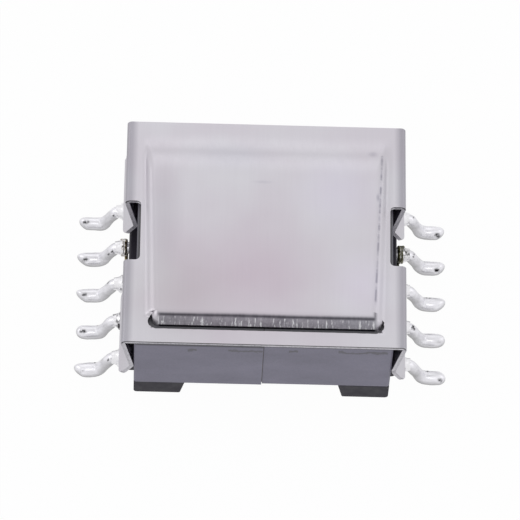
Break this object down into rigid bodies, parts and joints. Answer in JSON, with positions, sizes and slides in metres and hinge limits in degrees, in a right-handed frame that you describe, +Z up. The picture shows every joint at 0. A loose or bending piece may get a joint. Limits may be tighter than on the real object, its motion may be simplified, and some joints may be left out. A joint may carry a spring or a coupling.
{
  "type": "flyback transformer",
  "caption": "Flat surface-mount transformer: ferrite core and wound coil former under a pressed metal cover clip, with gull-wing terminals along both sides.",
  "frame": {"origin": "middle of the footprint, in the plane of the solder pads", "axes": "+X along the winding axis towards the right row of terminals, +Y along the rows towards the back, +Z up from the board"},
  "size_m": [0.022, 0.015, 0.0089],
  "materials": {
    "nickel_steel": "satin",
    "ferrite": "matte",
    "epoxy": "gloss",
    "black_plastic": "matte",
    "polyester_tape": "gloss",
    "tinned_wire": "satin",
    "soldered_lead": "satin",
    "enamelled_copper": "gloss"
  },
  "bodies": {
    "root": {"cover_clip": "nickel_steel", "core_half_left": "ferrite", "core_half_right": "ferrite", "core_glue": "epoxy", "coil_former": "black_plastic", "outer_tape": "polyester_tape", "terminal_1": "tinned_wire", "terminal_2": "tinned_wire", "terminal_3": "tinned_wire", "terminal_4": "tinned_wire", "terminal_5": "tinned_wire", "terminal_6": "tinned_wire", "terminal_7": "tinned_wire", "terminal_8": "tinned_wire", "terminal_9": "tinned_wire", "terminal_10": "tinned_wire", "lead_out_1": "soldered_lead", "lead_out_2": "soldered_lead", "lead_out_3": "soldered_lead", "lead_out_4": "soldered_lead", "lead_out_5": "soldered_lead", "lead_out_6": "soldered_lead", "lead_out_7": "soldered_lead", "lead_out_8": "soldered_lead", "lead_out_9": "soldered_lead", "lead_out_10": "soldered_lead", "primary_winding_inner": "enamelled_copper", "auxiliary_winding": "enamelled_copper", "secondary_winding": "enamelled_copper", "primary_winding_outer": "enamelled_copper", "primary_tape": "polyester_tape", "auxiliary_tape": "polyester_tape", "secondary_tape": "polyester_tape"}
  },
  "joints": []
}
